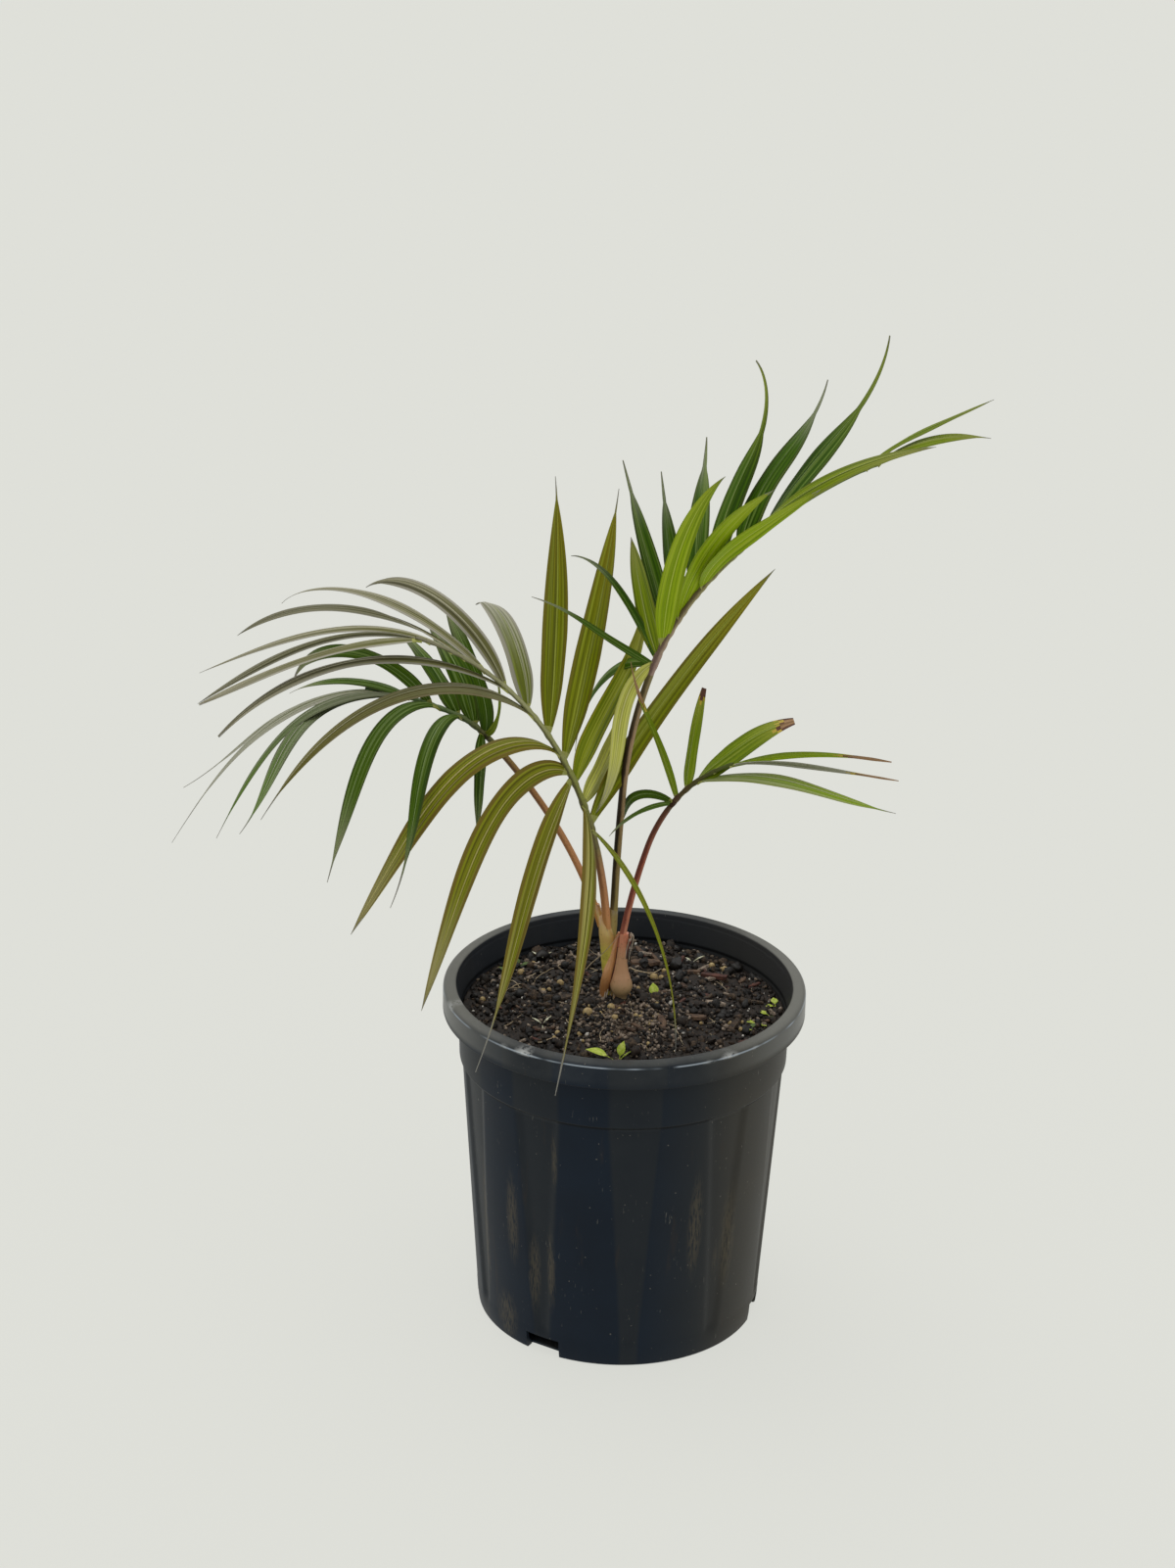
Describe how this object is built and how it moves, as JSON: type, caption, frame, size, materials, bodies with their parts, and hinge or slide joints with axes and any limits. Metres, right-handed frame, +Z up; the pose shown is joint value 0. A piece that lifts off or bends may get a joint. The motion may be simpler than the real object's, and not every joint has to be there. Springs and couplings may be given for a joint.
{
  "type": "potted pyriformis feather palm",
  "caption": "Young feather palm with arching fronds of lance-shaped leaflets, growing from one short clasped stem in a black fluted nursery pot filled with potting mix.",
  "frame": {"origin": "middle of the pot's flat underside, on the surface it stands on", "axes": "+Z up, -Y towards the front view, +X to the right of the front view, where the tall frond leans"},
  "size_m": [0.4331, 0.2245, 0.5585],
  "materials": {
    "pot_plastic": "moulded black polypropylene, dusty and scuffed along the rim",
    "potting_mix": "damp dark bark and peat with tan prills and pale specks",
    "leaf_base": "smooth waxy leaf bases, tan below and yellow-green above",
    "dark_stalk": "smooth dark brown stalk with a tan side",
    "red_stalk": "smooth red-brown stalk",
    "tan_stalk": "smooth orange-tan stalk, darker towards the rib",
    "bright_leaflets": "thin glossy green leaf with pale veins and brown dry tips",
    "olive_leaflets": "thin olive to bronze leaf with a pale midrib and a grey sheen",
    "dark_leaflets": "thin dark green leaf with a satin sheen"
  },
  "bodies": {
    "root": {"pot": "pot_plastic", "potting_mix": "potting_mix", "stem": "leaf_base", "tall_stalk": "dark_stalk", "right_stalk": "red_stalk", "middle_stalk": "tan_stalk", "left_stalk": "tan_stalk", "tall_frond": "bright_leaflets", "right_frond": "bright_leaflets", "middle_frond": "olive_leaflets", "left_frond": "dark_leaflets"}
  },
  "joints": []
}
